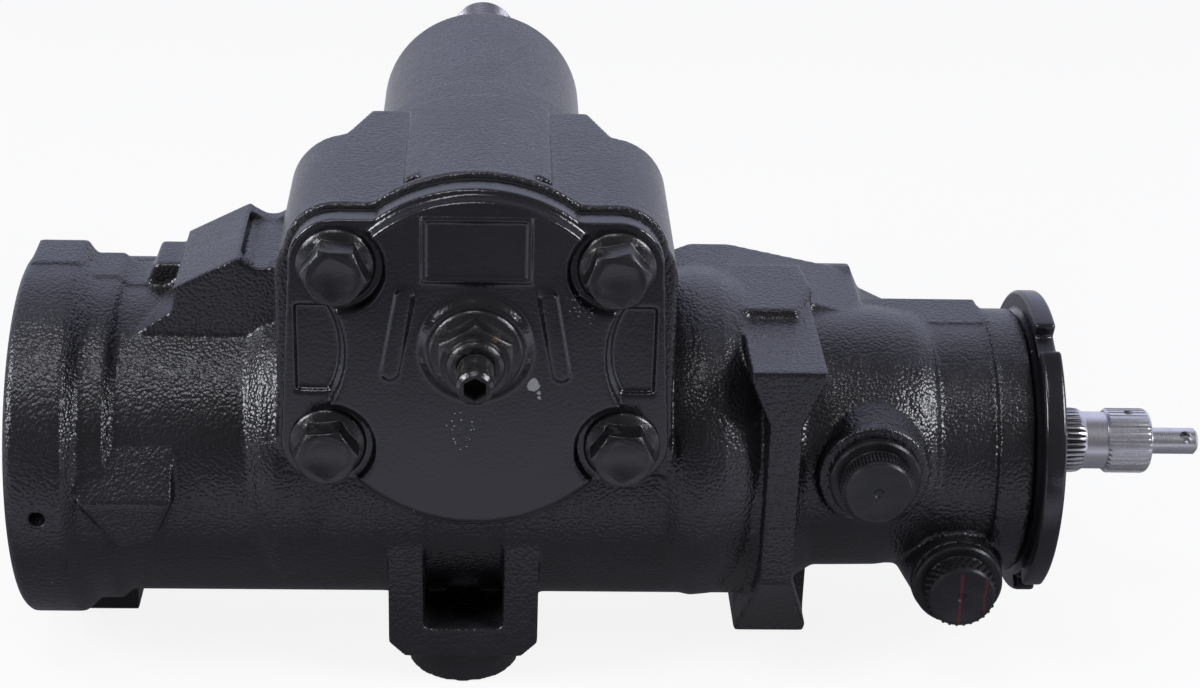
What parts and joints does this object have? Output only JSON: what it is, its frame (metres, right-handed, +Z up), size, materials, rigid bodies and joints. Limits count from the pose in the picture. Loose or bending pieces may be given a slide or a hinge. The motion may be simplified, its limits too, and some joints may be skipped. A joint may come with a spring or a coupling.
{
  "type": "power steering gear",
  "caption": "Cast integral power steering gear: ball worm and rack piston turn a toothed output shaft; rotary valve at the input, bolted side cover, plugged oil ports, tapped mounting lugs.",
  "frame": {"origin": "centre of the middle tapped mounting hole, on the plane of the mounting pads", "axes": "+X along the worm axis towards the input shaft, +Y along the sector shaft towards its output end, +Z up from the mounting pads"},
  "size_m": [0.3393, 0.281, 0.1586],
  "materials": {
    "black_casting": "semi-gloss black paint over a sand casting",
    "black_fastener": "black paint over turned steel",
    "bare_steel": "ground bare steel",
    "bearing_steel": "hardened bearing steel",
    "plain_steel": "phosphated steel",
    "rubber": "black seal rubber",
    "ring_plastic": "filled fluoroplastic",
    "brass": "machined brass",
    "plug_plastic": "black moulded plastic"
  },
  "bodies": {
    "housing": {"housing": "black_casting", "side_cover": "black_casting", "cover_gasket": "rubber", "cover_bolts": "black_fastener", "lash_adjuster": "black_fastener", "lash_lock_nut": "black_fastener", "cover_bushing": "brass", "end_plug": "plain_steel", "end_plug_seal": "rubber", "end_plug_ring": "plain_steel", "adjuster_plug": "plain_steel", "adjuster_lock_ring": "black_casting", "adjuster_seal": "rubber", "stub_bearing": "bearing_steel", "stub_seal": "rubber", "stub_dust_seal": "rubber", "stub_keeper_ring": "plain_steel", "upper_thrust_rollers": "bearing_steel", "adjuster_race": "bearing_steel", "lower_thrust_rollers": "bearing_steel", "lower_thrust_race": "bearing_steel", "sector_needle_bearing": "bearing_steel", "sector_inner_seal": "rubber", "sector_outer_seal": "rubber", "sector_seal_washers": "plain_steel", "sector_keeper_ring": "plain_steel", "pressure_seat": "brass", "return_seat": "brass", "pressure_plug": "plug_plastic", "return_plug": "plug_plastic"},
    "worm": {"worm_shaft": "bare_steel", "worm_race": "bearing_steel", "upper_thrust_race": "bearing_steel", "valve_body": "bare_steel", "valve_rings": "ring_plastic", "valve_drive_pin": "plain_steel"},
    "input": {"stub_shaft": "bare_steel", "valve_spool": "bare_steel", "spool_pin": "plain_steel", "torsion_bar": "bare_steel", "torsion_pin": "plain_steel"},
    "rack": {"rack_piston": "bare_steel", "piston_ring": "ring_plastic", "piston_ring_seal": "rubber", "rack_plug": "plain_steel", "recirculating_balls": "bearing_steel", "ball_guides": "plain_steel", "guide_clamp": "plain_steel", "clamp_screws": "plain_steel"},
    "sector": {"sector_shaft": "bare_steel", "lash_retainer": "plain_steel"}
  },
  "joints": [
    {"name": "sector_turn", "type": "hinge", "parent": "housing", "child": "sector", "pos_m": [0.003, 0.026, 0.1135], "axis": [0, 1, 0], "range_deg": [-42, 42]},
    {"name": "rack_slide", "type": "slide", "parent": "housing", "child": "rack", "axis": [1, 0, 0], "range_m": [-0.0171, 0.0171]},
    {"name": "worm_turn", "type": "hinge", "parent": "housing", "child": "worm", "pos_m": [0.003, 0.026, 0.058], "axis": [1, 0, 0], "range_deg": [-590, 590]},
    {"name": "input_twist", "type": "hinge", "parent": "worm", "child": "input", "pos_m": [0.003, 0.026, 0.058], "axis": [1, 0, 0], "range_deg": [-6, 6], "stiffness_Nm_per_rad": 70}
  ],
  "couplings": [
    {"joint": "rack_slide", "follows": "sector_turn", "m_per_rad": -0.023173},
    {"joint": "worm_turn", "follows": "sector_turn", "ratio": 14}
  ]
}
